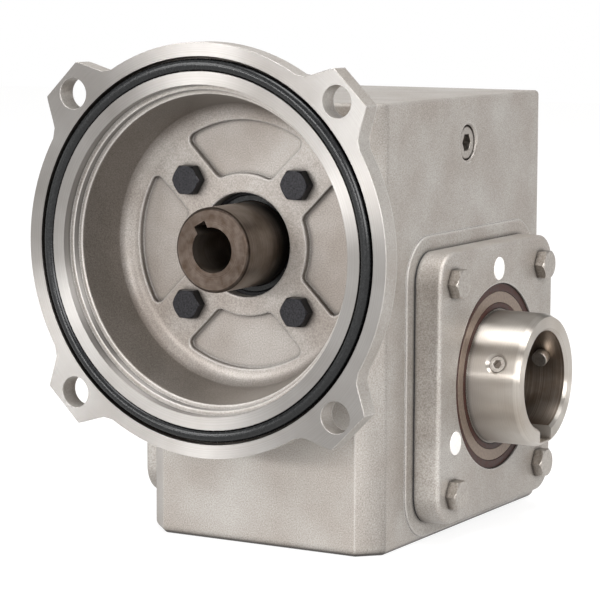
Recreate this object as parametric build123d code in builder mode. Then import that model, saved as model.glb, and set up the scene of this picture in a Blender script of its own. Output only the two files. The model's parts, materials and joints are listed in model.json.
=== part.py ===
from build123d import *
from math import asin, atan, cos, degrees, pi, radians, sin, sqrt, tan
import os

# A hollow-shaft worm gear reducer in cast stainless steel.
# The origin is the middle of the hollow output bore, +X runs along that bore to the
# cover side, the motor face looks along -Y and +Z is up. All sizes are in millimetres.

# Gear set
centre_distance = 53
worm_pitch_radius = 15.5
wheel_teeth = 30
pressure_angle = 20
worm_turns = 5
wheel_face_width = 14
thread_thinning = 0.1
gash_clearance = 0.15
tip_relief = 0.5
gash_bottom_clearance = 0.45
throat_depth = 0.5
hub_wall = 4.5
hub_flange_height = 3.5
wheel_key_width = 6
wheel_key_height = 6
wheel_key_length = 24
wheel_key_inset = 2

# Motor flange, a C-face bell
flange_face_distance = 112
flange_rim = 4.8
flange_thickness = 8
ear_margin = 9.8875
ear_width = 28
ear_corner_radius = 5
ear_root_radius = 10
motor_bolt_circle = 149.225
motor_bolt_hole_radius = 5.55
register_radius = 57.15
register_depth = 3.8
register_wall = 3
register_step = 1.75
step_depth = 6.6
mouth_step = 1.6
bell_draft = 3.6
bell_corner = 5.5
bell_floor_depth = 28.5
bell_wall = 5
bell_floor = 8.3
bell_back_step = 3.7
spigot_length = 6
floor_lip = 5.5
floor_hole_gap = 3.5
pocket_depth = 2.5
pocket_to_wall = 6.2
pocket_inner_radius = 25.2
pocket_rib_half = 8.8
pocket_corner = 2.5
oring_land = 4.55
oring_groove_width = 5.1
oring_groove_depth = 3.4
oring_section_radius = 2.1

# Housing
housing_half_width = 48.25
housing_rear = 57.3
housing_base = 56.6
housing_top = 103.3
front_chamfer = 8.2
casting_radius = 3
rear_edge_radius = 1
wall = 8
floor_wall = 12
front_boss_wall = 10.5
rear_boss_wall = 5.5
boss_to_wheel = 1.4
pad_margin = 5.5
pad_height = 0.6
far_boss_height = 17.25
base_hole_radius = 4
base_hole_depth = 10
base_hole_side_inset = 15.25
base_hole_end_inset = 18

# Side cover
cover_rim = 2.5
cover_extra_height = 3.5
cover_corner = 11
cover_thickness = 9.95
cover_spigot_wall = 5
cover_bolt_inset = 11
plug_to_seal = 1.1
cover_plug_radius = 4.4
cover_plug_depth = 4
cover_plug_proud = 0.3
gasket = 0.5

# Hollow output shaft
output_bore_radius = 18.256
output_keyway_width = 9.525
output_keyway_reach = 22.6
output_journal_radius = 25
output_seat_step = 1
output_collar_step = 4
output_collar_width = 21
output_end_step = 0.5
output_reach = 19.7
end_chamfer_length = 2.5
end_chamfer = 1.2
bore_chamfer = 1
set_screw_radius = 3
set_screw_from_end = 9.5
set_screw_angles = (20, 160)
set_screw_length = 5
set_screw_socket = 3
set_screw_tip_gap = 0.2
set_screw_sink = 1.2

# Hollow worm shaft
input_bore_radius = 7.9375
input_bore_length = 52
input_keyway_width = 4.76
input_keyway_reach = 10.3
input_keyway_angle = 120
quill_step = 0.1
quill_recess = 7
worm_end_chamfer = 1
worm_journal_radius = 15
worm_shoulder_step = 3
worm_shoulder_width = 5
worm_shoulder_cone = 3

# Tapered roller bearings
output_bearing_section = 15
output_bearing_width = 16
output_roller_radius = 3.8
output_roller_count = 12
worm_bearing_section = 12.5
worm_bearing_width = 17
worm_roller_radius = 3.4
worm_roller_count = 10
contact_angle = 13
roller_margin = 2.2
bearing_rib = 2.6
bearing_shoulder = 3.5
roller_end_gap = 0.6
bearing_play = 0.06
cage_inset = 0.6
cage_thickness = 1.2
cage_end = 1.3
cage_clearance = 0.1

# Seals
output_seal_section = 9.5
output_seal_width = 8
seal_recess = 0.8
seal_shoulder = 0.5
input_seal_section = 7
input_seal_width = 7
seal_gap = 0.1
seal_band = 3
seal_lip = 2.2
seal_ring_thickness = 0.8

# Rear cap
cap_rim = 5.5
cap_thickness = 6
cap_bolt_edge = 2
cap_edge_chamfer = 1

# Fasteners and plugs
bolt_radius = 3
bolt_head_flats = 10
bolt_head_height = 4
bolt_head_chamfer = 0.7
bolt_thread_length = 10
bolt_end_gap = 1
cap_thread_length = 7
flange_bolt_edge = 0.8
oil_plug_radius = 6.5
oil_plug_y = -4
oil_plug_drop = 17
oil_plug_socket = 6
oil_plug_socket_depth = 5
oil_plug_length = 7
oil_plug_recess = 0.8
oil_plug_chamfer = 0.8
fit = 0.05

# What follows from the sizes above
module = 2 * (centre_distance - worm_pitch_radius) / wheel_teeth
axial_pitch = pi * module
thread_half = axial_pitch / 4
flank = tan(radians(pressure_angle))
lead_angle = atan(axial_pitch / (2 * pi * worm_pitch_radius))
worm_tip_radius = worm_pitch_radius + module
worm_root_radius = worm_pitch_radius - 1.2 * module
wheel_outer_radius = centre_distance - worm_pitch_radius + module
output_seat_radius = output_journal_radius + output_seat_step
output_collar_radius = output_seat_radius + output_collar_step
output_end_radius = output_journal_radius - output_end_step
output_bearing_radius = output_journal_radius + output_bearing_section
output_seal_radius = output_journal_radius + output_seal_section
rim_seat_radius = output_seat_radius + hub_wall
hub_flange_radius = rim_seat_radius + hub_flange_height
quill_radius = worm_journal_radius - quill_step
worm_shoulder_radius = worm_journal_radius + worm_shoulder_step
worm_bearing_radius = worm_journal_radius + worm_bearing_section
input_seal_radius = worm_journal_radius + input_seal_section
floor_hole_radius = worm_journal_radius + floor_hole_gap
front_boss_radius = worm_bearing_radius + front_boss_wall
rear_boss_radius = worm_bearing_radius + rear_boss_wall
cap_bolt_radius = worm_bearing_radius + bolt_radius + cap_bolt_edge
cap_radius = cap_bolt_radius + cap_rim
flange_bolt_place = (worm_bearing_radius + bolt_radius + flange_bolt_edge) / sqrt(2)
cover_spigot_radius = output_bearing_radius + cover_spigot_wall
cover_length = 2 * (cover_spigot_radius + cover_rim)
cover_height = cover_length + cover_extra_height
cover_bolt_width = cover_length - 2 * cover_bolt_inset
cover_bolt_height = cover_height - 2 * cover_bolt_inset
plug_circle_radius = output_seal_radius + cover_plug_radius + plug_to_seal
step_radius = register_radius - register_step
bell_mouth_radius = step_radius - mouth_step
bell_throat_radius = bell_mouth_radius - bell_draft
bell_back_radius = bell_throat_radius - bell_back_step
pocket_outer_radius = bell_throat_radius - pocket_to_wall
oring_groove_inner = register_radius + oring_land
oring_groove_outer = oring_groove_inner + oring_groove_width
flange_ring_radius = oring_groove_outer + flange_rim
ear_reach = motor_bolt_circle / 2 + ear_margin
bell_depth = bell_floor_depth + bell_floor
quill_end = flange_face_distance - quill_recess
flange_face = -flange_face_distance
bell_back = flange_face + bell_depth
spigot_end = bell_back + spigot_length
housing_front = bell_back + gasket
housing_height = housing_base + housing_top
cavity_front = housing_front + wall
cavity_rear = housing_rear - wall
front_bearing_end = spigot_end + worm_bearing_width
front_boss_face = front_bearing_end + bearing_shoulder
wheel_reach = sqrt(wheel_outer_radius**2 - (centre_distance - rear_boss_radius) ** 2)
rear_boss_face = wheel_reach + boss_to_wheel
rear_bearing_start = rear_boss_face + fit
rear_bearing_end = rear_bearing_start + worm_bearing_width
pad_face = housing_half_width + pad_height
cover_seat = pad_face + gasket
cover_face = cover_seat + cover_thickness
far_face = housing_half_width + far_boss_height
output_half_length = cover_face + output_reach
cover_seal_start = cover_face - seal_recess - output_seal_width
far_seal_start = far_face - seal_recess - output_seal_width
output_bearing_end = cover_seal_start - seal_shoulder
output_bearing_start = output_bearing_end - output_bearing_width
hub_start = output_collar_width - output_bearing_start
key_start = hub_start + wheel_key_inset
key_top = output_seat_radius + wheel_key_height * 0.4
base_hole_spacing_x = 2 * (housing_half_width - base_hole_side_inset)
base_hole_spacing_y = housing_rear - housing_front - 2 * base_hole_end_inset
oil_plug_z = housing_top - oil_plug_drop

worm_axis = Axis((0, 0, centre_distance), (0, 1, 0))
worm_section = Plane(origin=(0, 0, centre_distance), x_dir=(0, 1, 0), z_dir=(1, 0, 0))
worm_plane = Plane(origin=(0, 0, centre_distance), x_dir=(1, 0, 0), z_dir=(0, 1, 0))
motor_plane = Plane(origin=(0, 0, centre_distance), x_dir=(1, 0, 0), z_dir=(0, -1, 0))
cover_plane = Plane.YZ
far_plane = Plane(origin=(0, 0, 0), x_dir=(0, -1, 0), z_dir=(-1, 0, 0))
base_plane = Plane(origin=(0, 0, -housing_base), x_dir=(1, 0, 0), z_dir=(0, 0, -1))

os.makedirs("parts", exist_ok=True)


def save(part, name):
    part.label = name
    export_step(part, f"parts/{name}.step")


def corner_places(width, height):
    return [(x, y) for x in (-width / 2, width / 2) for y in (-height / 2, height / 2)]


def polar_places(radius, count, first):
    turns = [radians(first + step * 360 / count) for step in range(count)]
    return [(radius * cos(turn), radius * sin(turn)) for turn in turns]


def disc(plane, radius, start, end, hole=0):
    """A disc or a plain ring between two places along the plane's normal."""
    with BuildPart() as body:
        with BuildSketch(plane.offset(start)):
            Circle(radius)
            if hole:
                Circle(hole, mode=Mode.SUBTRACT)
        extrude(amount=end - start)
    return body.part


def turned(points, section, axis):
    """A body turned about an axis from its half section of (place, radius) points."""
    with BuildPart() as body:
        with BuildSketch(section):
            with BuildLine():
                Polyline(*points, close=True)
            make_face()
        revolve(axis=axis)
    return body.part


def hex_bolt(shank_length):
    """One hexagon head bolt, head up, with its bearing face at the origin."""
    corner = bolt_head_flats / 2 / cos(pi / 6)
    crown = [
        (0, 0),
        (0, corner),
        (bolt_head_height - bolt_head_chamfer, corner),
        (bolt_head_height, bolt_head_flats / 2),
        (bolt_head_height, 0),
    ]
    with BuildPart() as bolt:
        with BuildSketch():
            RegularPolygon(bolt_head_flats / 2, 6, major_radius=False)
        extrude(amount=bolt_head_height)
        add(turned(crown, Plane((0, 0, 0), (0, 0, 1), (1, 0, 0)), Axis.Z), mode=Mode.INTERSECT)
        add(disc(Plane.XY, bolt_radius - fit, 0, -shank_length))
    return bolt.part


def bolt_set(name, plane, places, shank_length):
    """Equal hexagon bolts at the given places of one plane."""
    bolt = hex_bolt(shank_length)
    with BuildPart() as bolts:
        with Locations(plane):
            with Locations(*places):
                add(bolt)
    save(bolts.part, name)


# Housing: a cast box with a chamfered front, a pad for the side cover and a long boss
# on the far side. The worm bearings sit in bosses inside its front and rear walls.
def cast_box():
    with BuildPart() as box:
        with BuildSketch(Plane.XY.offset(-housing_base)):
            with BuildLine():
                Polyline(
                    (-housing_half_width, housing_rear),
                    (-housing_half_width, housing_front + front_chamfer),
                    (-housing_half_width + front_chamfer, housing_front),
                    (housing_half_width - front_chamfer, housing_front),
                    (housing_half_width, housing_front + front_chamfer),
                    (housing_half_width, housing_rear),
                    close=True,
                )
            make_face()
        extrude(amount=housing_height)
        fillet(box.faces().sort_by(Axis.Z)[0].edges(), radius=casting_radius)
        fillet(box.edges().filter_by(Axis.Z).sort_by(Axis.Y)[-2:], radius=rear_edge_radius)
        fillet(box.faces().sort_by(Axis.Z)[-1].edges(), radius=casting_radius / 2)
    return box.part


with BuildPart() as housing:
    add(cast_box())
    add(disc(worm_plane, bell_back_radius, housing_front, cavity_front))
    with BuildSketch(cover_plane.offset(housing_half_width)):
        RectangleRounded(
            cover_length + 2 * pad_margin, cover_height + 2 * pad_margin, cover_corner + pad_margin
        )
    extrude(amount=pad_height)
    fillet(housing.faces().sort_by(Axis.X)[-1].edges(), radius=pad_height * 0.6)
    with BuildSketch(far_plane.offset(housing_half_width)):
        RectangleRounded(cover_length, cover_height, cover_corner)
    extrude(amount=far_boss_height)
    fillet(housing.faces().sort_by(Axis.X)[0].edges(), radius=casting_radius / 2)
    # the oil space, then the bosses that stand into it
    with BuildSketch(Plane.XY.offset(floor_wall - housing_base)):
        with Locations((0, (cavity_front + cavity_rear) / 2)):
            Rectangle(2 * (housing_half_width - wall), cavity_rear - cavity_front)
    extrude(amount=housing_height - floor_wall - wall, mode=Mode.SUBTRACT)
    add(disc(worm_plane, front_boss_radius, cavity_front, front_boss_face))
    add(disc(worm_plane, rear_boss_radius, rear_boss_face, cavity_rear))
    add(disc(far_plane, cover_spigot_radius, output_bearing_start, housing_half_width))
    # bearing and seal seats, and the opening for the side cover
    seats = [
        disc(worm_plane, worm_bearing_radius + bearing_play, housing_front, front_bearing_end),
        disc(worm_plane, worm_bearing_radius - bearing_shoulder, housing_front, front_boss_face),
        disc(worm_plane, worm_bearing_radius + bearing_play, rear_boss_face, housing_rear),
        disc(far_plane, output_bearing_radius + bearing_play, output_bearing_start, output_bearing_end),
        disc(far_plane, output_seal_radius + bearing_play, output_bearing_start, far_face),
        disc(cover_plane, cover_spigot_radius + fit, output_bearing_start, pad_face),
    ]
    add(seats, mode=Mode.SUBTRACT)
    # tapped holes
    with Locations(cover_plane.offset(pad_face)):
        with Locations(*corner_places(cover_bolt_width, cover_bolt_height)):
            Hole(bolt_radius, bolt_thread_length)
    with Locations(motor_plane.offset(-housing_front)):
        with Locations(*corner_places(2 * flange_bolt_place, 2 * flange_bolt_place)):
            Hole(bolt_radius, bolt_thread_length)
    with Locations(worm_plane.offset(housing_rear)):
        with Locations(*polar_places(cap_bolt_radius, 4, 45)):
            Hole(bolt_radius, cap_thread_length)
    for side in (cover_plane, far_plane):
        with Locations(side.offset(housing_half_width)):
            with Locations((oil_plug_y if side is cover_plane else -oil_plug_y, oil_plug_z)):
                CounterSinkHole(oil_plug_radius + fit, oil_plug_radius + oil_plug_chamfer, wall, 90)
    with Locations(base_plane):
        with Locations((0, -(housing_front + housing_rear) / 2)):
            with GridLocations(base_hole_spacing_x, base_hole_spacing_y, 2, 2):
                Hole(base_hole_radius, base_hole_depth)
save(housing.part, "housing")

# Motor flange: the ring and its four ears, the bell behind them, then the pockets.
# Places in its sections are depths behind the motor face.
bell_section = Plane(origin=(0, flange_face, centre_distance), x_dir=(0, 1, 0), z_dir=(1, 0, 0))
bell_outside = [
    (flange_thickness, 0),
    (flange_thickness, register_radius + register_wall),
    (bell_floor_depth, bell_throat_radius + bell_wall),
    (bell_depth, bell_back_radius),
    (bell_depth, worm_bearing_radius - fit),
    (bell_depth + spigot_length, worm_bearing_radius - fit),
    (bell_depth + spigot_length, 0),
]

with BuildPart() as motor_flange:
    with BuildSketch(motor_plane.offset(flange_face_distance)) as outline:
        Circle(flange_ring_radius)
        Rectangle(2 * ear_reach, ear_width, rotation=45)
        Rectangle(2 * ear_reach, ear_width, rotation=135)
        tips = outline.vertices().filter_by(lambda v: Vector(v.X, v.Y).length > 1.05 * flange_ring_radius)
        roots = outline.vertices().filter_by(lambda v: Vector(v.X, v.Y).length < 1.05 * flange_ring_radius)
        fillet(tips, radius=ear_corner_radius)
        fillet(roots, radius=ear_root_radius)
    extrude(amount=-flange_thickness)
    add(turned(bell_outside, bell_section, worm_axis))
    with BuildSketch(bell_section):
        with BuildLine():
            wall_end = (bell_floor_depth - bell_corner, bell_throat_radius)
            floor_start = (bell_floor_depth, bell_throat_radius - bell_corner)
            Polyline(
                (0, 0),
                (0, register_radius),
                (register_depth, register_radius),
                (register_depth, step_radius),
                (step_depth, step_radius),
                (step_depth, bell_mouth_radius),
                wall_end,
            )
            RadiusArc(wall_end, floor_start, bell_corner)
            Polyline(
                floor_start,
                (bell_floor_depth, floor_hole_radius),
                (bell_floor_depth + floor_lip, floor_hole_radius),
                (bell_floor_depth + floor_lip, input_seal_radius + bearing_play),
                (bell_depth + spigot_length, input_seal_radius + bearing_play),
                (bell_depth + spigot_length, 0),
                (0, 0),
            )
        make_face()
    revolve(axis=worm_axis, mode=Mode.SUBTRACT)
    add(
        disc(
            motor_plane,
            oring_groove_outer,
            flange_face_distance - oring_groove_depth,
            flange_face_distance,
            oring_groove_inner,
        ),
        mode=Mode.SUBTRACT,
    )
    with BuildSketch(motor_plane.offset(flange_face_distance - bell_floor_depth)) as pockets:
        Circle(pocket_outer_radius)
        Circle(pocket_inner_radius, mode=Mode.SUBTRACT)
        for turn in (45, 135):
            Rectangle(2 * ear_reach, 2 * pocket_rib_half, rotation=turn, mode=Mode.SUBTRACT)
        fillet(pockets.vertices(), radius=pocket_corner)
    extrude(amount=-pocket_depth, mode=Mode.SUBTRACT)
    with Locations(motor_plane.offset(flange_face_distance)):
        with Locations(*polar_places(motor_bolt_circle / 2, 4, 45)):
            Hole(motor_bolt_hole_radius, flange_thickness)
    with Locations(motor_plane.offset(flange_face_distance - bell_floor_depth)):
        with Locations(*corner_places(2 * flange_bolt_place, 2 * flange_bolt_place)):
            Hole(bolt_radius, bell_depth - bell_floor_depth)
save(motor_flange.part, "motor_flange")

with BuildPart() as motor_face_oring:
    oring_centre = oring_groove_inner + oring_section_radius + fit
    with BuildSketch(bell_section):
        with Locations((oring_groove_depth - oring_section_radius, oring_centre)):
            Circle(oring_section_radius)
    revolve(axis=worm_axis)
save(motor_face_oring.part, "motor_face_oring")

with BuildPart() as flange_gasket:
    add(disc(worm_plane, bell_back_radius, bell_back, housing_front, worm_bearing_radius + fit))
    with Locations(motor_plane.offset(-bell_back)):
        with Locations(*corner_places(2 * flange_bolt_place, 2 * flange_bolt_place)):
            Hole(bolt_radius, gasket)
save(flange_gasket.part, "flange_gasket")

bolt_set(
    "flange_bolts",
    motor_plane.offset(flange_face_distance - bell_floor_depth),
    corner_places(2 * flange_bolt_place, 2 * flange_bolt_place),
    bell_depth - bell_floor_depth + gasket + bolt_thread_length - bolt_end_gap,
)


# Side cover: a plate with a spigot that carries the output bearing and its seal.
with BuildPart() as side_cover:
    with BuildSketch(cover_plane.offset(cover_seat)):
        RectangleRounded(cover_length, cover_height, cover_corner)
    extrude(amount=cover_face - cover_seat)
    fillet(side_cover.faces().sort_by(Axis.X)[-1].edges(), radius=casting_radius / 2)
    add(disc(cover_plane, cover_spigot_radius, output_bearing_start, cover_seat))
    bearing_seat = output_bearing_radius + bearing_play
    seal_seat = output_seal_radius + bearing_play
    add(disc(cover_plane, bearing_seat, output_bearing_start, output_bearing_end), mode=Mode.SUBTRACT)
    add(disc(cover_plane, seal_seat, output_bearing_start, cover_face), mode=Mode.SUBTRACT)
    with Locations(cover_plane.offset(cover_face)):
        with Locations(*corner_places(cover_bolt_width, cover_bolt_height)):
            Hole(bolt_radius, cover_face - cover_seat)
        with Locations(*polar_places(plug_circle_radius, 3, 90)):
            Hole(cover_plug_radius, cover_plug_depth)
save(side_cover.part, "side_cover")

with BuildPart() as cover_gasket:
    with BuildSketch(cover_plane.offset(pad_face)):
        RectangleRounded(cover_length, cover_height, cover_corner)
        Circle(cover_spigot_radius + fit, mode=Mode.SUBTRACT)
        with Locations(*corner_places(cover_bolt_width, cover_bolt_height)):
            Circle(bolt_radius, mode=Mode.SUBTRACT)
    extrude(amount=gasket)
save(cover_gasket.part, "cover_gasket")

bolt_set(
    "cover_bolts",
    cover_plane.offset(cover_face),
    corner_places(cover_bolt_width, cover_bolt_height),
    cover_face - pad_face + bolt_thread_length - bolt_end_gap,
)

with BuildPart() as cover_plugs:
    with BuildSketch(cover_plane.offset(cover_face - cover_plug_depth)):
        with Locations(*polar_places(plug_circle_radius, 3, 90)):
            Circle(cover_plug_radius - fit)
    extrude(amount=cover_plug_depth + cover_plug_proud)
save(cover_plugs.part, "cover_plugs")


# Rear cap: closes the worm bore and holds the rear bearing's cup.
with BuildPart() as rear_cap:
    add(disc(worm_plane, cap_radius, housing_rear + gasket, housing_rear + gasket + cap_thickness))
    chamfer(rear_cap.faces().sort_by(Axis.Y)[-1].edges(), length=cap_edge_chamfer)
    spigot_bore = worm_bearing_radius - bearing_shoulder
    cap_seat = housing_rear + gasket
    add(disc(worm_plane, worm_bearing_radius - fit, rear_bearing_end, cap_seat, spigot_bore))
    with Locations(worm_plane.offset(housing_rear + gasket + cap_thickness)):
        with Locations(*polar_places(cap_bolt_radius, 4, 45)):
            Hole(bolt_radius, cap_thickness)
save(rear_cap.part, "rear_cap")

with BuildPart() as rear_gasket:
    add(disc(worm_plane, cap_radius, housing_rear, housing_rear + gasket, worm_bearing_radius + fit))
    with Locations(worm_plane.offset(housing_rear + gasket)):
        with Locations(*polar_places(cap_bolt_radius, 4, 45)):
            Hole(bolt_radius, gasket)
save(rear_gasket.part, "rear_gasket")

bolt_set(
    "rear_cap_bolts",
    worm_plane.offset(housing_rear + gasket + cap_thickness),
    polar_places(cap_bolt_radius, 4, 45),
    cap_thickness + gasket + cap_thread_length - bolt_end_gap,
)


# Plugs in the oil space, just under the side walls' faces, each with a hexagon socket.
def oil_plug(plane, place, name):
    with BuildPart() as plug:
        plug_face = housing_half_width - oil_plug_recess
        with BuildSketch(plane.offset(plug_face)):
            with Locations(place):
                Circle(oil_plug_radius)
        extrude(amount=-oil_plug_length)
        chamfer(plug.faces().sort_by(Axis(plane.origin, plane.z_dir))[-1].edges(), length=oil_plug_chamfer)
        with BuildSketch(plane.offset(plug_face)):
            with Locations(place):
                RegularPolygon(oil_plug_socket / 2, 6, major_radius=False)
        extrude(amount=-oil_plug_socket_depth, mode=Mode.SUBTRACT)
    save(plug.part, name)


oil_plug(cover_plane, (oil_plug_y, oil_plug_z), "oil_plug_cover_side")
oil_plug(far_plane, (-oil_plug_y, oil_plug_z), "oil_plug_far_side")


# Shaft seals: a rubber body with a lip, and a steel ring let into its outer face.
def shaft_seal(name, start, outward, outside, inside, width, section, axis):
    end = start + outward * width
    recess = end - outward * seal_ring_thickness
    body = [
        (start, inside + seal_gap),
        (start, outside),
        (end, outside),
        (end, outside - seal_band),
        (recess, outside - seal_band),
        (recess, inside + seal_lip),
        (end, inside + seal_lip),
        (end, inside + seal_gap),
    ]
    washer = [
        (recess, inside + seal_lip + fit),
        (recess, outside - seal_band - fit),
        (end, outside - seal_band - fit),
        (end, inside + seal_lip + fit),
    ]
    save(turned(body, section, axis), f"{name}_seal")
    save(turned(washer, section, axis), f"{name}_seal_ring")


shaft_seal(
    "cover_side",
    cover_seal_start,
    1,
    output_seal_radius,
    output_journal_radius,
    output_seal_width,
    Plane.XZ,
    Axis.X,
)
shaft_seal(
    "far_side",
    -far_seal_start,
    -1,
    output_seal_radius,
    output_journal_radius,
    output_seal_width,
    Plane.XZ,
    Axis.X,
)
shaft_seal(
    "input",
    flange_face + bell_floor_depth + floor_lip + input_seal_width,
    -1,
    input_seal_radius,
    worm_journal_radius,
    input_seal_width,
    worm_section,
    worm_axis,
)


# Tapered roller bearings. The cup's back face looks outwards, so the raceways widen
# inwards from it, and the cone's rib stands against the shaft's shoulder.
def bearing_angles(inside, outside, roller_radius):
    middle = (inside + outside) / 2
    spread = asin(roller_radius * sin(radians(contact_angle)) / middle)
    return middle / tan(radians(contact_angle)), spread


def tapered_bearing(name, back, inward, inside, outside, width, roller_radius, count, section, axis):
    apex, spread = bearing_angles(inside, outside, roller_radius)
    tilt = radians(contact_angle)

    def raceway(place, angle):
        return (apex + place - width / 2) * tan(angle)

    def at(place, radius):
        return (back + inward * place, radius)

    rib_start = width - bearing_rib
    cup = [
        at(0, outside),
        at(width, outside),
        at(width, raceway(width, tilt + spread)),
        at(0, raceway(0, tilt + spread)),
    ]
    cone = [
        at(0, inside + bearing_play),
        at(0, raceway(0, tilt - spread)),
        at(rib_start, raceway(rib_start, tilt - spread)),
        at(rib_start, raceway(rib_start, tilt) - roller_end_gap),
        at(width, raceway(width, tilt) - roller_end_gap),
        at(width, inside + bearing_play),
    ]
    save(turned(cup, section, axis), f"{name}_cup")
    save(turned(cone, section, axis), f"{name}_cone")
    first = (apex - width / 2 + roller_margin) / cos(tilt)
    last = (apex + width / 2 - bearing_rib) / cos(tilt) - roller_radius * tan(tilt) - fit

    def on_roller(distance, offset):
        place = distance * cos(tilt) - offset * sin(tilt) - apex + width / 2
        return at(place, distance * sin(tilt) + offset * cos(tilt))

    def roller_body(growth):
        small, large = first - growth, last + growth
        low, high = on_roller(small, 0), on_roller(large, 0)
        start = section.from_local_coords((low[0], low[1], 0))
        finish = section.from_local_coords((high[0], high[1], 0))
        outline = [
            low,
            high,
            on_roller(large, large * tan(spread) - bearing_play + growth),
            on_roller(small, small * tan(spread) - bearing_play + growth),
        ]
        return turned(outline, section, Axis(start, finish - start))

    def around(body):
        return [body.rotate(axis, step * 360 / count) for step in range(count)]

    with BuildPart() as rollers:
        add(around(roller_body(0)))
    save(rollers.part, f"{name}_rollers")
    cage_outline = [
        on_roller(first - cage_end, cage_inset),
        on_roller(last + cage_end, cage_inset),
        on_roller(last + cage_end, cage_inset + cage_thickness),
        on_roller(first - cage_end, cage_inset + cage_thickness),
    ]
    with BuildPart() as cage:
        add(turned(cage_outline, section, axis))
        add(around(roller_body(cage_clearance)), mode=Mode.SUBTRACT)
    save(cage.part, f"{name}_cage")
    return tan(tilt - spread) / (tan(tilt - spread) + tan(tilt + spread))


for name, side in (("cover_side_bearing", 1), ("far_side_bearing", -1)):
    output_cage_ratio = tapered_bearing(
        name,
        side * output_bearing_end,
        -side,
        output_journal_radius,
        output_bearing_radius,
        output_bearing_width,
        output_roller_radius,
        output_roller_count,
        Plane.XZ,
        Axis.X,
    )
for name, back, inward in (
    ("worm_front_bearing", spigot_end, 1),
    ("worm_rear_bearing", rear_bearing_end, -1),
):
    worm_cage_ratio = tapered_bearing(
        name,
        back,
        inward,
        worm_journal_radius,
        worm_bearing_radius,
        worm_bearing_width,
        worm_roller_radius,
        worm_roller_count,
        worm_section,
        worm_axis,
    )


# Hollow output shaft, with the collar that the wheel and the far bearing stand against.
cover_journal_end = cover_face - seal_recess
far_journal_end = seal_recess - far_face
with BuildPart() as output_shaft:
    profile = [
        (-output_half_length, output_bore_radius - bore_chamfer),
        (-output_half_length, output_end_radius - end_chamfer),
        (-output_half_length + end_chamfer_length, output_end_radius),
        (far_journal_end, output_end_radius),
        (far_journal_end, output_journal_radius),
        (-output_bearing_start, output_journal_radius),
        (-output_bearing_start, output_collar_radius),
        (hub_start, output_collar_radius),
        (hub_start, output_seat_radius),
        (output_bearing_start - fit, output_seat_radius),
        (output_bearing_start - fit, output_journal_radius),
        (cover_journal_end, output_journal_radius),
        (cover_journal_end, output_end_radius),
        (output_half_length - end_chamfer_length, output_end_radius),
        (output_half_length, output_end_radius - end_chamfer),
        (output_half_length, output_bore_radius - bore_chamfer),
    ]
    add(turned(profile, Plane.XZ, Axis.X))
    add(disc(cover_plane, output_bore_radius, -output_half_length, output_half_length), mode=Mode.SUBTRACT)
    rims = output_shaft.edges().filter_by(GeomType.CIRCLE)
    chamfer(rims.filter_by(lambda e: abs(e.radius - output_bore_radius) < fit), length=bore_chamfer)
    with BuildSketch(cover_plane.offset(-output_half_length)):
        with Locations((0, -output_keyway_reach / 2)):
            Rectangle(output_keyway_width, output_keyway_reach)
    extrude(amount=2 * output_half_length, mode=Mode.SUBTRACT)
    with BuildSketch(Plane.XY.offset(key_top)):
        with Locations((key_start + wheel_key_length / 2, 0)):
            Rectangle(wheel_key_length + 2 * fit, wheel_key_width + 2 * fit)
    extrude(amount=-wheel_key_height, mode=Mode.SUBTRACT)
    for angle in set_screw_angles:
        radial = (0, cos(radians(angle)), sin(radians(angle)))
        screw_plane = Plane(
            origin=(output_half_length - set_screw_from_end, 0, 0), x_dir=(1, 0, 0), z_dir=radial
        )
        with Locations(screw_plane.offset(output_end_radius)):
            screw_wall = output_end_radius - output_bore_radius + bore_chamfer
            CounterSinkHole(set_screw_radius, set_screw_radius + set_screw_sink, screw_wall, 90)
save(output_shaft.part, "output_shaft")

with BuildPart() as output_set_screws:
    for angle in set_screw_angles:
        radial = (0, cos(radians(angle)), sin(radians(angle)))
        screw_plane = Plane(
            origin=(output_half_length - set_screw_from_end, 0, 0), x_dir=(1, 0, 0), z_dir=radial
        )
        with BuildSketch(screw_plane.offset(output_bore_radius + set_screw_tip_gap)):
            Circle(set_screw_radius - fit)
        extrude(amount=set_screw_length)
        with BuildSketch(screw_plane.offset(output_bore_radius + set_screw_tip_gap + set_screw_length)):
            RegularPolygon(set_screw_socket / 2, 6, major_radius=False)
        extrude(amount=-set_screw_length / 2, mode=Mode.SUBTRACT)
save(output_set_screws.part, "output_set_screws")

with BuildPart() as wheel_key:
    with BuildSketch(Plane.XY.offset(key_top)):
        with Locations((key_start + wheel_key_length / 2, 0)):
            Rectangle(wheel_key_length, wheel_key_width)
    extrude(amount=-wheel_key_height + fit)
save(wheel_key.part, "wheel_key")

# Wheel hub: a keyed sleeve with a flange, which carries the bronze rim.
with BuildPart() as wheel_hub:
    profile = [
        (hub_start, output_seat_radius + bearing_play),
        (hub_start, hub_flange_radius),
        (-wheel_face_width / 2, hub_flange_radius),
        (-wheel_face_width / 2, rim_seat_radius),
        (output_bearing_start, rim_seat_radius),
        (output_bearing_start, output_seat_radius + bearing_play),
    ]
    add(turned(profile, Plane.XZ, Axis.X))
    with BuildSketch(cover_plane.offset(hub_start)):
        with Locations((0, (key_top + fit) / 2)):
            Rectangle(wheel_key_width + 2 * fit, key_top + fit)
    extrude(amount=output_bearing_start - hub_start, mode=Mode.SUBTRACT)
save(wheel_hub.part, "wheel_hub")


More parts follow.
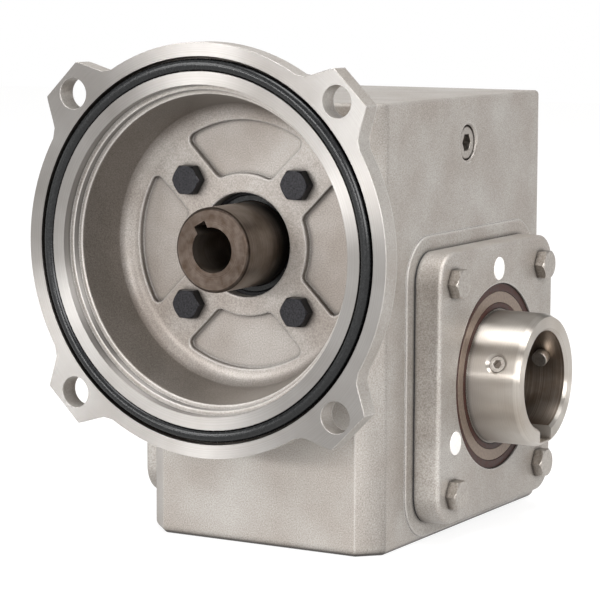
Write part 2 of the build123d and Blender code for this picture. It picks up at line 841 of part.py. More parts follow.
# Worm wheel rim: a throated bronze blank, gashed by a ring cutter that has the worm's
# thread section, opened for backlash, and leans by the worm's lead angle.
def gash_cutter():
    lean = Vector(sin(lead_angle), cos(lead_angle), 0)
    bottom = worm_tip_radius + gash_bottom_clearance
    deep = worm_pitch_radius + 0.44 * module
    shallow = worm_pitch_radius - 0.12 * module
    top = worm_pitch_radius - 1.6 * module

    def half_gap(radius, opening):
        return thread_half - (radius - worm_pitch_radius) * flank + opening

    side = [
        (bottom, half_gap(bottom, gash_clearance)),
        (deep, half_gap(deep, gash_clearance)),
        (shallow, half_gap(shallow, tip_relief)),
        (top, half_gap(top, tip_relief)),
    ]
    down = Vector(0, 0, -1)
    section = Plane(origin=(0, 0, centre_distance), x_dir=down, z_dir=down.cross(lean))
    other_side = [(radius, -half) for radius, half in reversed(side)]
    return turned(side + other_side, section, Axis((0, 0, centre_distance), lean))


with BuildPart() as wheel_rim:
    half_face = wheel_face_width / 2
    throat_radius = centre_distance - wheel_outer_radius + throat_depth
    throat_half = sqrt(throat_radius**2 - (centre_distance - wheel_outer_radius) ** 2)
    with BuildSketch(Plane.XZ):
        with BuildLine():
            Polyline(
                (-throat_half, wheel_outer_radius),
                (-half_face, wheel_outer_radius),
                (-half_face, rim_seat_radius + bearing_play),
                (half_face, rim_seat_radius + bearing_play),
                (half_face, wheel_outer_radius),
                (throat_half, wheel_outer_radius),
            )
            ThreePointArc(
                (throat_half, wheel_outer_radius),
                (0, wheel_outer_radius - throat_depth),
                (-throat_half, wheel_outer_radius),
            )
        make_face()
    revolve(axis=Axis.X)
    cutter = gash_cutter()
    add(
        [cutter.rotate(Axis.X, step * 360 / wheel_teeth) for step in range(wheel_teeth)],
        mode=Mode.SUBTRACT,
    )
save(wheel_rim.part, "wheel_rim")


# Worm: one right-hand thread on the hollow input shaft, in line with a gash at rest.
def worm_thread():
    foot = worm_root_radius - 0.3
    with BuildPart() as thread:
        with BuildLine() as path:
            Helix(pitch=axial_pitch, height=worm_turns * axial_pitch, radius=worm_pitch_radius)
        with BuildSketch(Plane.XZ):
            with BuildLine():
                at_foot = thread_half - thread_thinning + (worm_pitch_radius - foot) * flank
                at_tip = thread_half - thread_thinning - module * flank
                Polyline(
                    (foot, at_foot),
                    (worm_tip_radius, at_tip),
                    (worm_tip_radius, -at_tip),
                    (foot, -at_foot),
                    close=True,
                )
            make_face()
        sweep(path=path.line, is_frenet=True)
    turn = pi * worm_turns
    place = Plane(
        origin=(0, -worm_turns * axial_pitch / 2, centre_distance),
        x_dir=(sin(turn), 0, -cos(turn)),
        z_dir=(0, 1, 0),
    )
    return thread.part.moved(place.location)


with BuildPart() as worm_shaft:
    front_shoulder = front_bearing_end + worm_shoulder_width
    rear_shoulder = rear_bearing_start - worm_shoulder_width
    seal_start = flange_face + bell_floor_depth + floor_lip - seal_recess
    profile = [
        (-quill_end, 0),
        (-quill_end, quill_radius - worm_end_chamfer),
        (-quill_end + worm_end_chamfer, quill_radius),
        (seal_start, quill_radius),
        (seal_start, worm_journal_radius),
        (front_bearing_end, worm_journal_radius),
        (front_bearing_end, worm_shoulder_radius),
        (front_shoulder, worm_shoulder_radius),
        (front_shoulder + worm_shoulder_cone, worm_root_radius),
        (rear_shoulder - worm_shoulder_cone, worm_root_radius),
        (rear_shoulder, worm_shoulder_radius),
        (rear_bearing_start, worm_shoulder_radius),
        (rear_bearing_start, worm_journal_radius),
        (rear_bearing_end - worm_end_chamfer, worm_journal_radius),
        (rear_bearing_end, worm_journal_radius - worm_end_chamfer),
        (rear_bearing_end, 0),
    ]
    add(turned(profile, worm_section, worm_axis))
    add(worm_thread())
    with Locations(motor_plane.offset(quill_end)):
        Hole(input_bore_radius, input_bore_length)
    with BuildSketch(motor_plane.offset(quill_end)):
        with PolarLocations(input_keyway_reach / 2, 1, start_angle=input_keyway_angle):
            Rectangle(input_keyway_reach, input_keyway_width)
    extrude(amount=-input_bore_length, mode=Mode.SUBTRACT)
save(worm_shaft.part, "worm_shaft")

print("worm turns per turn of the output shaft:", wheel_teeth)
print("output roller sets per turn of the output shaft:", round(output_cage_ratio, 5))
print("worm roller sets per turn of the output shaft:", round(wheel_teeth * worm_cage_ratio, 5))
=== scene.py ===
import json
from math import atan2, cos, degrees, exp, hypot, log, radians, sin

import bmesh
import bpy
from mathutils import Matrix, Vector


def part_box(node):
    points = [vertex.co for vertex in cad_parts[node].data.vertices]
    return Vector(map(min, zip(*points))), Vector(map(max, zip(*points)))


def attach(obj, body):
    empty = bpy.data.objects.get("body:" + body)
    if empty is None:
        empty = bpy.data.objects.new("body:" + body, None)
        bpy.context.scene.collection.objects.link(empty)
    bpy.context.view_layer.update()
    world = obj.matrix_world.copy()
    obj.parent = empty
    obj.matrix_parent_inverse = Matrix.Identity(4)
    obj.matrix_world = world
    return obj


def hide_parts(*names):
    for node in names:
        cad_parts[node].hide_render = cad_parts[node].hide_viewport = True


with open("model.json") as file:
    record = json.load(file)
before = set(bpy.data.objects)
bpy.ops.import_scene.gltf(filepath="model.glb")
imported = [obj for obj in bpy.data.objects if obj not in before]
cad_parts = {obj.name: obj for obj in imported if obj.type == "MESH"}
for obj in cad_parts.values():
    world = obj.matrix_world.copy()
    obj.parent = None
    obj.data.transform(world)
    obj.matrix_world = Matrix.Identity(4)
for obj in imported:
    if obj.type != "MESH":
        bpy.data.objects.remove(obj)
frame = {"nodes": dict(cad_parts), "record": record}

nodes = frame["nodes"]
record = frame["record"]
bodyOf = {name: body for body, names in record["behaviour"]["bodies"].items() for name in names}
slotOf = {entry["node"]: entry["material_slot"] for entry in record["subparts"]}
mounts = {mount["name"]: mount for mount in record["mounts"]}
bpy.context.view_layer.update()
mm = 0.001
inputLine = Vector(mounts["input_bore"]["pos_m"])
outputLine = Vector((0, 0, 0))
register = mounts["motor_register"]["dims"]
boreRadius = mounts["output_bore"]["dims"]["r_mm"]
along = {"X": (1, 0, 0), "Y": (0, 1, 0)}
print("frame loaded:", len(nodes), "nodes")


# camera, matched to the photograph's view of the ring, the box edges and the hub
camera = {
    "azimuth": 29.93,  # degrees, from straight in front of the bell towards the cover side
    "elevation": 7.2,
    "roll": 0.18,
    "lens": 154.1,  # mm on a 36 mm sensor
    "sensor": 36,
    "distance": 878.24,  # mm from the motor face's centre, along the view
    "shiftRight": -33.85,  # mm, where the motor face's centre stands in the view
    "shiftUp": 16.34,
    "motorFace": (0, -112, 53),
    "clipStart": 10,
}


def placeCamera(view):
    turn, tilt, roll = (radians(view[key]) for key in ("azimuth", "elevation", "roll"))
    back = Vector((sin(turn) * cos(tilt), -cos(turn) * cos(tilt), sin(tilt)))
    right = Vector((0, 0, 1)).cross(back).normalized()
    up = back.cross(right)
    right, up = cos(roll) * right + sin(roll) * up, cos(roll) * up - sin(roll) * right
    place = Vector(view["motorFace"]) - right * view["shiftRight"] - up * view["shiftUp"]
    place += back * view["distance"]
    data = bpy.data.cameras.new("camera")
    data.lens = view["lens"]
    data.sensor_width = view["sensor"]
    data.clip_start = view["clipStart"] * mm
    eye = bpy.data.objects.new("camera", data)
    bpy.context.scene.collection.objects.link(eye)
    turnMatrix = Matrix((right, up, back)).transposed().to_4x4()
    eye.matrix_world = Matrix.Translation(place * mm) @ turnMatrix
    bpy.context.scene.camera = eye


placeCamera(camera)
bpy.context.scene.view_settings.view_transform = "Standard"
print("camera placed")


# colours and nodes
def hexColour(code):
    # sRGB hex to linear, with an alpha of 1
    parts = [int(code[i:i + 2], 16) / 255 for i in (0, 2, 4)]
    return [c / 12.92 if c <= 0.04045 else ((c + 0.055) / 1.055) ** 2.4 for c in parts] + [1]


def addNode(tree, kind, settings=None, **links):
    # settings are the node's attributes; each link is a socket's name, or i and its number,
    # with a value or another node's output
    node = tree.nodes.new("ShaderNode" + kind)
    for key, value in (settings or {}).items():
        setattr(node, key, value)
    for key, value in links.items():
        name = key.replace("_", " ")
        socket = node.inputs[int(name[1:])] if name[1:].isdigit() else node.inputs[name]
        if isinstance(value, bpy.types.NodeSocket):
            tree.links.new(value, socket)
        else:
            socket.default_value = value
    return node


def newMaterial(name):
    material = bpy.data.materials.new(name)
    material.use_nodes = True
    tree = material.node_tree
    tree.nodes.clear()
    shader = addNode(tree, "BsdfPrincipled")
    addNode(tree, "OutputMaterial", Surface=shader.outputs["BSDF"])
    coords = addNode(tree, "TexCoord").outputs["Object"]
    return material, tree, shader, coords


blend = {"data_type": "RGBA"}
multiply = {"data_type": "RGBA", "blend_type": "MULTIPLY"}
noiseDetail = 3.0
# the stretch of each pattern's noise over which it goes from its first colour to its second
spans = {"grain": (0.3, 0.7), "spark": (0.3, 0.72), "cloud": (0.35, 0.65), "stain": (0.35, 0.7)}
# grease and painted shade: within the reach, ambient occlusion darkens the colour towards the
# dirt-and-shade colour
cornerDirtAndShade = {"dirtAndShade": "4A423C", "dirtAndShadeReach": 2.5, "open": (0.3, 0.85), "samples": 6}  # reach in mm


def twoTone(tree, value, span, first, second):
    # the first colour at the low end of the span, the second at its high end
    share = addNode(tree, "MapRange", Value=value, From_Min=span[0], From_Max=span[1])
    ends = {"i6": hexColour(first), "i7": hexColour(second)}
    return addNode(tree, "Mix", blend, i0=share.outputs["Result"], **ends).outputs[2]


def coverSurface(tree, shader, tone, relief, look, normal=None):
    # what the finishes share: colour with grease and painted shade in its corners, uneven gloss and fine
    # relief
    look = {**cornerDirtAndShade, **look}
    dirtAndShadeReach = look["dirtAndShadeReach"] * mm
    # painted shade: corners and hollows near another surface are darkened, together with grease
    occlusionShade = addNode(tree, "AmbientOcclusion", {"samples": look["samples"]}, Distance=dirtAndShadeReach)
    dirtAndShade = twoTone(tree, occlusionShade.outputs["AO"], look["open"], look["dirtAndShade"], "FFFFFF")
    dirtyAndShaded = addNode(tree, "Mix", multiply, i0=1.0, i6=tone, i7=dirtAndShade)
    stretch = {"From_Min": spans["grain"][0], "From_Max": spans["grain"][1]}
    smooth, rough = look["roughness"]
    gloss = addNode(tree, "MapRange", Value=relief, To_Min=smooth, To_Max=rough, **stretch)
    bump = addNode(tree, "Bump", Strength=look["bump"], Distance=look["depth"] * mm, Height=relief)
    if normal:
        tree.links.new(normal, bump.inputs["Normal"])
    tree.links.new(dirtyAndShaded.outputs[2], shader.inputs["Base Color"])
    tree.links.new(gloss.outputs["Result"], shader.inputs["Roughness"])
    tree.links.new(bump.outputs[0], shader.inputs["Normal"])
    shader.inputs["Metallic"].default_value = look["metallic"]
    shader.inputs["Specular IOR Level"].default_value = look.get("gloss", 0.5)


def castStainless(name, look):
    # bead-blasted stainless casting: an even, dull warm grey with a fine sparkle and paler edges, partly
    # rubbed and partly a painted highlight
    material, tree, shader, coords = newMaterial(name)
    gritNoise = {"Vector": coords, "Scale": 1 / (look["grit"] * mm), "Roughness": look["gritRough"]}
    cloudNoise = {"Vector": coords, "Scale": 1 / (look["cloud"] * mm), "Roughness": look["cloudRough"]}
    grit = addNode(tree, "TexNoise", Detail=noiseDetail, **gritNoise)
    cloud = addNode(tree, "TexNoise", Detail=noiseDetail, **cloudNoise)
    tone = twoTone(tree, cloud.outputs["Fac"], spans["cloud"], look["dark"], look["light"])
    spark = twoTone(tree, grit.outputs["Fac"], spans["spark"], look["pit"], look["peak"])
    both = addNode(tree, "Mix", multiply, i0=1.0, i6=tone, i7=spark)
    # at an edge the rounded normal leaves the flat one, and there the casting is painted pale: rubbed, and
    # a painted highlight too
    rounded = addNode(tree, "Bevel", {"samples": look["edgeSamples"]}, Radius=look["edge"] * mm)
    flat = addNode(tree, "NewGeometry").outputs["Normal"]
    agree = addNode(tree, "VectorMath", {"operation": "DOT_PRODUCT"}, i0=rounded.outputs[0], i1=flat)
    start, full = look["edgeCosines"]
    edge = {"Value": agree.outputs["Value"], "From_Min": start, "From_Max": full}
    rubAndHighlight = addNode(tree, "MapRange", To_Max=look["rubAndHighlight"], **edge).outputs["Result"]
    wornAndHighlit = addNode(tree, "Mix", blend, i0=rubAndHighlight, i6=both.outputs[2], i7=hexColour(look["rubbedAndHighlitColour"]))
    coverSurface(tree, shader, wornAndHighlit.outputs[2], grit.outputs["Fac"], look, rounded.outputs[0])
    return material


def turnedSteel(name, look, centre, axis):
    # lathe-turned steel: fine rings that follow the tool, and light spread across them in fans and bands
    material, tree, shader, coords = newMaterial(name)
    moved = addNode(tree, "VectorMath", {"operation": "SUBTRACT"}, i0=coords, i1=centre).outputs[0]
    across = [1.0 - part for part in along[axis]]
    onPlane = addNode(tree, "VectorMath", {"operation": "MULTIPLY"}, i0=moved, i1=across).outputs[0]
    radius = addNode(tree, "VectorMath", {"operation": "LENGTH"}, i0=onPlane).outputs["Value"]
    place = addNode(tree, "SeparateXYZ", Vector=coords).outputs[axis]
    feed = addNode(tree, "Math", {"operation": "ADD"}, i0=radius, i1=place).outputs[0]
    oneWay = {"noise_dimensions": "1D"}
    rings = addNode(tree, "TexNoise", oneWay, W=feed, Scale=1 / (look["feed"] * mm), Detail=noiseDetail)
    smear = addNode(tree, "TexNoise", Vector=coords, Scale=1 / (look["cloud"] * mm), Detail=noiseDetail)
    tone = twoTone(tree, rings.outputs["Fac"], spans["grain"], look["dark"], look["light"])
    stain = twoTone(tree, smear.outputs["Fac"], spans["stain"], "FFFFFF", look["stain"])
    both = addNode(tree, "Mix", multiply, i0=1.0, i6=tone, i7=stain)
    coverSurface(tree, shader, both.outputs[2], rings.outputs["Fac"], look)
    # the tangent runs the way the tool went, and its quarter turn spreads the light across the rings
    cross = {"operation": "CROSS_PRODUCT"}
    around = addNode(tree, "VectorMath", cross, i0=along[axis], i1=moved).outputs[0]
    ways = {"vector_type": "VECTOR", "convert_from": "OBJECT", "convert_to": "WORLD"}
    tangent = addNode(tree, "VectorTransform", ways, i0=around).outputs[0]
    tree.links.new(tangent, shader.inputs["Tangent"])
    shader.inputs["Anisotropic"].default_value = look["stretch"]
    shader.inputs["Anisotropic Rotation"].default_value = 0.25
    return material


def plainFinish(name, look):
    # one body colour with the slight mottling and grain of the real surface
    material, tree, shader, coords = newMaterial(name)
    grain = addNode(tree, "TexNoise", Vector=coords, Scale=1 / (look["grain"] * mm), Detail=noiseDetail)
    tone = twoTone(tree, grain.outputs["Fac"], spans["grain"], look["dark"], look["light"])
    coverSurface(tree, shader, tone, grain.outputs["Fac"], look)
    return material


# Sizes in the finishes are in millimetres: grit, cloud, feed and grain are the widths of a pattern's
# spots, edge is the rounding of the corners painted pale as wear and painted highlight, and depth the
# height of the relief. Grit and tool feed are drawn two to three times as coarse as the real ones, which
# would be too fine to show.

# dull warm grey, sparkling finely, as blasting with beads leaves stainless
blasted = {
    "grit": 0.45, "gritRough": 0.6, "cloud": 26, "cloudRough": 0.55,
    "dark": "AFA8A1", "light": "BFBBB6", "pit": "BEBBB8", "peak": "FFFFFF",
    "metallic": 0.6, "roughness": (0.42, 0.55), "bump": 0.3, "depth": 0.08,
    "edge": 1.2, "edgeSamples": 4, "edgeCosines": (0.99, 0.8), "rubAndHighlight": 0.6, "rubbedAndHighlitColour": "EFECE9",
}
# inside the bell the casting is darker than outside, on the wall as painted shade, and the wall smoother
# too
shadedBellWall = dict(blasted, dark="928C85", light="A09A94", metallic=0.8, roughness=(0.3, 0.42), rubAndHighlight=0.2)
bellFloor = dict(blasted, dark="958D86", light="ABA6A1")
# bright turned stainless, with fans of light across the ring
ringFace = {
    "feed": 0.3, "cloud": 34, "dark": "989592", "light": "A6A3A0", "stain": "DCDAD8",
    "metallic": 1.0, "roughness": (0.38, 0.46), "stretch": 0.96, "bump": 0.08, "depth": 0.02,
}
# the same, paler and a little shinier
capFace = dict(ringFace, roughness=(0.32, 0.45), dark="A9A49E", light="C4BFB9")
# finely turned steel with straight light bands along the hub
hubFace = {
    "feed": 0.3, "cloud": 18, "dark": "B4AEA7", "light": "C0BBB4", "stain": "E6E1DC",
    "metallic": 1.0, "roughness": (0.34, 0.42), "stretch": 0.95, "bump": 0.015, "depth": 0.02,
}
# cool, clean bearing steel
bearingSteel = dict(hubFace, dark="8E8F92", light="B3B4B6", stain="E8E8E8")
# plain carbon steel under an oil film: brown and streaked, with dark painted shade and grease spread 5 mm
# out from its hollows
quillSteel = {
    "feed": 0.6, "cloud": 9, "dark": "847A71", "light": "9F948A", "stain": "C4B9AE",
    "metallic": 1.0, "roughness": (0.3, 0.45), "stretch": 0.4, "bump": 0.2, "depth": 0.02,
    "dirtAndShadeReach": 5, "dirtAndShade": "2A241F",
}
# the quill's end face is darker and rougher, and the output bore paler
quillEnd = dict(quillSteel, cloud=3, dark="4A413B", light="60564F", roughness=(0.4, 0.6), dirtAndShadeReach=1.5)
oiledBore = dict(quillSteel, dark="978B80", light="B3A79B", stain="D8CDC2", stretch=0.6)
oiledBore["roughness"] = (0.3, 0.4)
# chemically blackened steel: near black with a soft grey sheen
oxide = {
    "grain": 0.6, "dark": "131315", "light": "2E2D30", "metallic": 0.75,
    "roughness": (0.3, 0.5), "bump": 0.4, "depth": 0.06,
}
# cold-headed stainless: brighter than the casting and smooth
boltSteel = {
    "grain": 0.7, "dark": "8F8983", "light": "B3ADA6", "metallic": 1.0,
    "roughness": (0.28, 0.45), "bump": 0.15, "depth": 0.03,
}
# set screws, paler than the bolts as a painted highlight where the hub's light falls on them, with paler
# painted shade in their corners
highlitScrewSteel = dict(boltSteel, dark="C4BFB9", light="E2DED9", dirtAndShade="948B83")
# pressed sheet steel, flat grey
cageSheet = {
    "grain": 1.2, "dark": "6E6C69", "light": "8A8784", "metallic": 1.0,
    "roughness": (0.35, 0.5), "bump": 0.1, "depth": 0.03,
}
# pressed steel seal case, browned by oil
sealCase = {
    "grain": 0.9, "dark": "6F6156", "light": "8B7C70", "metallic": 0.6,
    "roughness": (0.4, 0.55), "bump": 0.15, "depth": 0.03,
}
# moulded plastic: a soft, warm white
plugWhite = {
    "grain": 0.8, "dark": "ECE7E3", "light": "F7F4F1", "metallic": 0.0,
    "roughness": (0.4, 0.55), "bump": 0.1, "depth": 0.03,
}
# moulded nitrile rubber: red-brown and matt in the seals, black and faintly shiny in the O-ring
nitrileBrown = {
    "grain": 1.1, "dark": "28120D", "light": "3E1F16", "metallic": 0.0, "gloss": 0.3,
    "roughness": (0.42, 0.6), "bump": 0.15, "depth": 0.05,
}
nitrileBlack = {
    "grain": 0.8, "dark": "0C0D0E", "light": "191A1B", "metallic": 0.0, "gloss": 0.3,
    "roughness": (0.2, 0.3), "bump": 0.1, "depth": 0.03,
}
# pressed fibre sheet: charcoal and quite matt
gasketFibre = {
    "grain": 0.5, "dark": "2A2A2B", "light": "404041", "metallic": 0.0,
    "roughness": (0.7, 0.85), "bump": 0.3, "depth": 0.04,
}
# machined grey iron: dark grey with a grainy, weak shine
greyIron = {
    "grain": 0.6, "dark": "4A4B4D", "light": "65666A", "metallic": 0.9,
    "roughness": (0.45, 0.6), "bump": 0.2, "depth": 0.05,
}
# cut tin bronze: warm yellow-brown and shiny
gearBronze = {
    "grain": 1.4, "dark": "A87536", "light": "C6924A", "metallic": 1.0,
    "roughness": (0.25, 0.4), "bump": 0.1, "depth": 0.03,
}

finishes = {
    "cast_stainless": castStainless("blastedCastStainless", blasted),
    "machined_stainless": turnedSteel("turnedStainlessRing", ringFace, inputLine, "Y"),
    "shaft_steel": turnedSteel("groundQuillSteel", quillSteel, inputLine, "Y"),
    "bearing_steel": turnedSteel("bearingSteel", bearingSteel, inputLine, "Y"),
    "cage_steel": plainFinish("pressedCageSteel", cageSheet),
    "stainless_fasteners": plainFinish("stainlessFastener", boltSteel),
    "black_oxide_steel": plainFinish("blackOxideSteel", oxide),
    "wheel_bronze": plainFinish("gearBronze", gearBronze),
    "wheel_hub_iron": plainFinish("greyIron", greyIron),
    "seal_rubber": plainFinish("brownNitrileRubber", nitrileBrown),
    "black_rubber": plainFinish("blackNitrileRubber", nitrileBlack),
    "white_plastic": plainFinish("whitePlugPlastic", plugWhite),
    "gasket_fibre": plainFinish("gasketFibre", gasketFibre),
}
# pieces whose finish isn't the one of their slot; turned ones follow the shaft that they sit on
acrossFinish = turnedSteel("bearingSteelAcross", bearingSteel, outputLine, "X")
sealFinish = plainFinish("oiledSealCaseSteel", sealCase)
ownFinish = {
    "output_shaft": turnedSteel("turnedHubSteel", hubFace, outputLine, "X"),
    "output_set_screws": plainFinish("screwSteelWithPaintedHighlight", highlitScrewSteel),
    "rear_cap": turnedSteel("turnedCapSteel", capFace, inputLine, "Y"),
}
for side in ("cover_side", "far_side"):
    ownFinish[side + "_bearing_cup"] = acrossFinish
    ownFinish[side + "_bearing_cone"] = acrossFinish
    ownFinish[side + "_seal_ring"] = sealFinish
# the bell's wall: the casting painted darker as painted shade
shadedWallFinish = castStainless("shadedBellWallStainless", shadedBellWall)
floorFinish = castStainless("bellFloorStainless", bellFloor)
boreFinish = turnedSteel("oiledBoreSteel", oiledBore, outputLine, "X")
quillEndFinish = turnedSteel("darkerQuillEndSteel", quillEnd, inputLine, "Y")
print("materials made")


def finishOf(name):
    return ownFinish.get(name, finishes[slotOf[name]])


for name, node in nodes.items():
    node.data.materials.clear()
    node.data.materials.append(finishOf(name))


# The visible pieces keep the frame's shapes, with their edges broken as on the real ones.
dressing = {"merge": 0.002, "flat": 0.4, "sharp": 35, "segments": 2}  # mm, degrees twice, faces


def dressed(name, breakEdge, paint):
    shape = bmesh.new()
    shape.from_mesh(nodes[name].data)
    merge, flat = dressing["merge"] * mm, radians(dressing["flat"])
    bmesh.ops.remove_doubles(shape, verts=shape.verts, dist=merge)
    bmesh.ops.dissolve_limit(shape, angle_limit=flat, verts=shape.verts, edges=shape.edges)
    mesh = bpy.data.meshes.new(name + "_dressed")
    mesh.materials.append(finishOf(name))
    if paint:
        paint(shape, mesh)
    shape.to_mesh(mesh)
    shape.free()
    piece = bpy.data.objects.new(name + "_dressed", mesh)
    bpy.context.scene.collection.objects.link(piece)
    mesh.shade_smooth()
    mesh.set_sharp_from_angle(angle=radians(dressing["sharp"]))
    if breakEdge:
        bevel = piece.modifiers.new("broken edges", "BEVEL")
        bevel.width = breakEdge * mm
        bevel.segments = dressing["segments"]
        bevel.limit_method = "WEIGHT" if "bevel_weight_edge" in mesh.attributes else "ANGLE"
        bevel.angle_limit = radians(dressing["sharp"])
    evenShading = piece.modifiers.new("even shading", "WEIGHTED_NORMAL")
    evenShading.keep_sharp = True
    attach(piece, bodyOf[name])
    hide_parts(name)


# the ears' flared outline, in millimetres along and across an ear from the ring's centre
ears = {
    "tip": 82.4, "root": (71.0, 14.5), "corner": (81.3, 9.0), "rounding": 0.8,
    "hole": 74.61, "keepRound": 6.2,  # the bolt hole along the ear, and how far round it nothing moves
    "apart": 90, "first": 45, "reach": 25,  # degrees between ears, to the first, and reshaped to each side
    "inset": 0.05,  # how far inside the ring's edge still counts as its edge
}


def outlineRadius(angle, ringRadius):
    # the outline at an angle from an ear's middle: ring, flared side and flat tip, run into each other
    rootAlong, rootAcross = ears["root"]
    cornerAlong, cornerAcross = ears["corner"]
    lean = Vector((rootAcross - cornerAcross, cornerAlong - rootAlong)).normalized()
    side = (lean.x * rootAlong + lean.y * rootAcross) / (lean.x * cos(angle) + lean.y * sin(angle))
    tip = ears["tip"] / cos(angle)
    soft = ears["rounding"]
    ear = -soft * log(exp(-tip / soft) + exp(-side / soft))
    return soft * log(exp(ear / soft) + exp(ringRadius / soft))


def flareEars(shape):
    low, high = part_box("motor_flange")
    ringRadius = (high.z - low.z) / 2 / mm
    for vert in shape.verts:
        x, z = vert.co.x - inputLine.x, vert.co.z - inputLine.z
        reach = hypot(x, z) / mm
        angle = abs((degrees(atan2(z, x)) % ears["apart"]) - ears["first"])
        fromHole = hypot(reach * cos(radians(angle)) - ears["hole"], reach * sin(radians(angle)))
        if reach > ringRadius - ears["inset"] and angle < ears["reach"] and fromHole > ears["keepRound"]:
            factor = outlineRadius(radians(angle), ringRadius) / reach
            vert.co.x, vert.co.z = inputLine.x + x * factor, inputLine.z + z * factor


# the flange's finishes and edges, in millimetres from its axis and behind its machined face
flange = {
    "faced": 0.01,  # this far behind the face still counts as the face
    "registerBand": (4, 1),  # inside and outside the register's radius
    "groove": 7, "grooveHalf": 3,  # from the register to the O-ring groove's middle, and half its band
    "wallFrom": 45, "wallGap": 1, "wallDepth": 27,  # from the axis, short of the register, behind the face
    "floorTo": 50, "floorDepth": (20, 32),
    "steep": 0.3,  # a wall's normal leans less than this along the axis, an outer side's more than this out
    "rimsTo": 48, "floorEdge": 0.9, "otherEdge": 0.35,  # pocket rims within this are broken wider
}


def paintFlange(shape, mesh):
    # machined face, register and groove; the bell and the edges of the ears stay as cast
    # a polygon's index: 0 machined, 1 as cast, 2 the bell's wall, 3 its floor
    flareEars(shape)
    for finish in (finishes["cast_stainless"], shadedWallFinish, floorFinish):
        mesh.materials.append(finish)
    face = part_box("motor_flange")[0].y
    deep, radius = register["length_mm"], register["r_mm"]
    inside, outside = flange["registerBand"]
    steep = flange["steep"]
    floorTop, floorBottom = flange["floorDepth"]
    for polygon in shape.faces:
        centre = polygon.calc_center_median()
        normal = polygon.normal
        x, z = centre.x - inputLine.x, centre.z - inputLine.z
        distance = hypot(x, z) / mm
        depth = (centre.y - face) / mm
        inRegister = depth < 2 * deep and radius - inside < distance < radius + outside
        inGroove = depth < deep and abs(distance - radius - flange["groove"]) < flange["grooveHalf"]
        outward = (x * normal.x + z * normal.z) / mm > steep * distance
        onWall = flange["wallFrom"] < distance < radius - flange["wallGap"] and depth < flange["wallDepth"]
        onFloor = distance < flange["floorTo"] and floorTop < depth < floorBottom
        polygon.material_index = 1
        if depth < flange["faced"] or inRegister or inGroove:
            polygon.material_index = 0
        elif onWall and abs(normal.y) < steep and not outward:
            polygon.material_index = 2
        elif onFloor and not outward:
            polygon.material_index = 3
    weight = shape.edges.layers.float.new("bevel_weight_edge")
    for edge in shape.edges:
        if len(edge.link_faces) == 2 and edge.calc_face_angle() > radians(dressing["sharp"]):
            middle = (edge.verts[0].co + edge.verts[1].co) / 2
            distance = hypot(middle.x - inputLine.x, middle.z - inputLine.z) / mm
            inBell = distance < flange["rimsTo"] and (middle.y - face) / mm > floorTop
            edge[weight] = 1.0 if inBell else flange["otherEdge"] / flange["floorEdge"]


hub = {"boreWall": 0.3, "steep": 0.3}  # mm outside the bore's radius, and a bore face's lean endways


def paintHub(shape, mesh):
    # the bore is browned by oil, the outside bright from turning
    mesh.materials.append(boreFinish)
    for polygon in shape.faces:
        centre = polygon.calc_center_median()
        inBore = Vector((centre.y, centre.z)).length < (boreRadius + hub["boreWall"]) * mm
        polygon.material_index = 1 if inBore and abs(polygon.normal.x) < hub["steep"] else 0


quill = {"endFacing": 0.5}  # how squarely a face of the end looks towards the motor, at least


def paintQuill(shape, mesh):
    # the quill's end, which faces the motor, is given a rougher and darker finish than its ground outside
    mesh.materials.append(quillEndFinish)
    for polygon in shape.faces:
        polygon.material_index = 1 if polygon.normal.y < -quill["endFacing"] else 0


# the inner set screw stands out of the bore's wall: how far, at what angle above +Y, and how far behind
# the wall its tip lies in the frame
innerScrew = {"proud": 3.5, "angle": 20, "tipDepth": 1.2}  # mm, degrees, mm


def lengthenScrew(shape, mesh):
    angle = radians(innerScrew["angle"])
    for vert in shape.verts:
        reach = Vector((vert.co.y, vert.co.z)).length
        if vert.co.y > 0 and reach < (boreRadius + innerScrew["tipDepth"]) * mm:
            vert.co.y -= innerScrew["proud"] * mm * cos(angle)
            vert.co.z -= innerScrew["proud"] * mm * sin(angle)


# mm taken off the edges of each visible piece; those with 0 are rounded in the frame already
brokenEdges = {
    "housing": 0.0, "side_cover": 0.0, "motor_flange": flange["floorEdge"], "output_shaft": 0.2,
    "rear_cap": 0.2, "motor_face_oring": 0.0, "worm_shaft": 0.0, "flange_bolts": 0.25, "cover_bolts": 0.3,
    "rear_cap_bolts": 0.3, "cover_plugs": 0.3, "oil_plug_cover_side": 0.3, "oil_plug_far_side": 0.3,
    "cover_side_seal": 0.2, "cover_side_seal_ring": 0.2, "far_side_seal": 0.2, "far_side_seal_ring": 0.2,
    "input_seal": 0.2, "input_seal_ring": 0.2, "output_set_screws": 0.15,
}
painted = {
    "motor_flange": paintFlange, "output_shaft": paintHub, "worm_shaft": paintQuill,
    "output_set_screws": lengthenScrew,
}
for name, width in brokenEdges.items():
    dressed(name, width, painted.get(name))
print("visible pieces dressed:", len(brokenEdges))


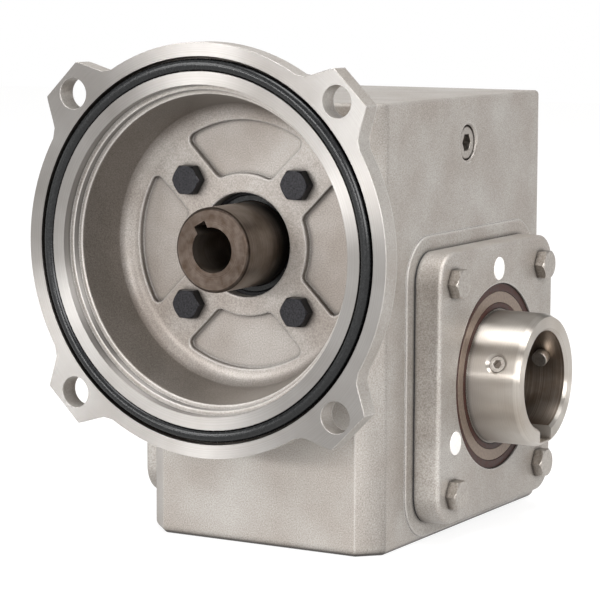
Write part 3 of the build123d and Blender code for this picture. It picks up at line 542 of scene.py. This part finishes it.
# studio: a pale floor and a pale room, lit by soft boxes
studio = {
    "floorSize": 6.0,  # metres
    "floorColour": "7F7E7D",
    "floorGlow": 0.85,  # share of white that the eye and the metal see in the floor besides its own light
    # brightness of the room at heights from straight down (-1) to straight up (1): pale about the horizon,
    # a bright band just above it that the casting's top mirrors, and darker from there to the soft boxes
    "room": (
        (-1.0, 0.6), (-0.1, 1.0), (0.03, 1.0), (0.07, 0.3), (0.12, 1.8), (0.17, 1.8), (0.21, 0.3),
        (0.5, 0.3), (0.7, 0.8), (1.0, 0.7),
    ),
    "aim": (0, -0.03, 0.03),
    # watts, metres, and metres from the output bore's middle
    "lamps": {
        "frontStrip": {"power": 11, "size": (1.3, 0.12), "place": (-0.25, -1.45, 0.25)},  # thin, on the hub
        "topBox": {"power": 21, "size": (0.9, 0.7), "place": (0.25, -0.25, 1.42)},  # broad, on the hub
        "leftBox": {"power": 9, "size": (0.5, 0.5), "place": (-0.8, -1.15, 0.75)},  # the ring's fans
        "rightBox": {"power": 24, "size": (0.8, 0.8), "place": (1.3, -1.05, 0.6)},  # the cover side
    },
}


def softBox(name, look):
    data = bpy.data.lights.new(name, "AREA")
    data.shape = "RECTANGLE"
    data.energy = look["power"]
    data.size, data.size_y = look["size"]
    lamp = bpy.data.objects.new(name, data)
    bpy.context.scene.collection.objects.link(lamp)
    lamp.location = look["place"]
    lamp.rotation_euler = (Vector(studio["aim"]) - lamp.location).to_track_quat("-Z", "Y").to_euler()


def seenRays(tree):
    # 1 for rays that the eye, metal and glass see by
    path = addNode(tree, "LightPath").outputs
    clampedSum = {"operation": "ADD", "use_clamp": True}
    some = addNode(tree, "Math", clampedSum, i0=path["Is Camera Ray"], i1=path["Is Glossy Ray"])
    every = addNode(tree, "Math", clampedSum, i0=some.outputs[0], i1=path["Is Transmission Ray"])
    return every.outputs[0]


def paleFloor(look):
    # white to the eye except where the object shades it
    shape = bmesh.new()
    bmesh.ops.create_grid(shape, x_segments=1, y_segments=1, size=look["floorSize"] / 2)
    bmesh.ops.translate(shape, vec=(0, 0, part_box("housing")[0].z), verts=shape.verts)
    mesh = bpy.data.meshes.new("floor")
    shape.to_mesh(mesh)
    shape.free()
    floor = bpy.data.objects.new("floor", mesh)
    bpy.context.scene.collection.objects.link(floor)
    material = bpy.data.materials.new("paleFloor")
    material.use_nodes = True
    tree = material.node_tree
    tree.nodes.clear()
    matte = addNode(tree, "BsdfDiffuse", Color=hexColour(look["floorColour"]))
    share = addNode(tree, "Math", {"operation": "MULTIPLY"}, i0=seenRays(tree), i1=look["floorGlow"])
    glow = addNode(tree, "Emission", Color=(1, 1, 1, 1), Strength=share.outputs[0])
    both = addNode(tree, "AddShader", i0=matte.outputs[0], i1=glow.outputs[0])
    addNode(tree, "OutputMaterial", Surface=both.outputs[0])
    mesh.materials.append(material)


def roomLight(look):
    world = bpy.data.worlds.new("studio")
    bpy.context.scene.world = world
    world.use_nodes = True
    tree = world.node_tree
    tree.nodes.clear()
    coords = addNode(tree, "TexCoord").outputs["Generated"]
    height = addNode(tree, "SeparateXYZ", Vector=coords).outputs["Z"]
    share = addNode(tree, "MapRange", Value=height, From_Min=-1, From_Max=1)
    ramp = addNode(tree, "ValToRGB", Fac=share.outputs["Result"])
    stops = ramp.color_ramp.elements
    for place, _ in look["room"][1:-1]:
        stops.new((place + 1) / 2)
    for stop, (place, level) in zip(stops, look["room"]):
        stop.position = (place + 1) / 2
        stop.color = (level, level, level, 1)
    room = addNode(tree, "Background", Color=ramp.outputs["Color"], Strength=1.0)
    addNode(tree, "OutputWorld", Surface=room.outputs[0])


paleFloor(studio)
roomLight(studio)
for lampName, lampLook in studio["lamps"].items():
    softBox(lampName, lampLook)
print("studio lit")
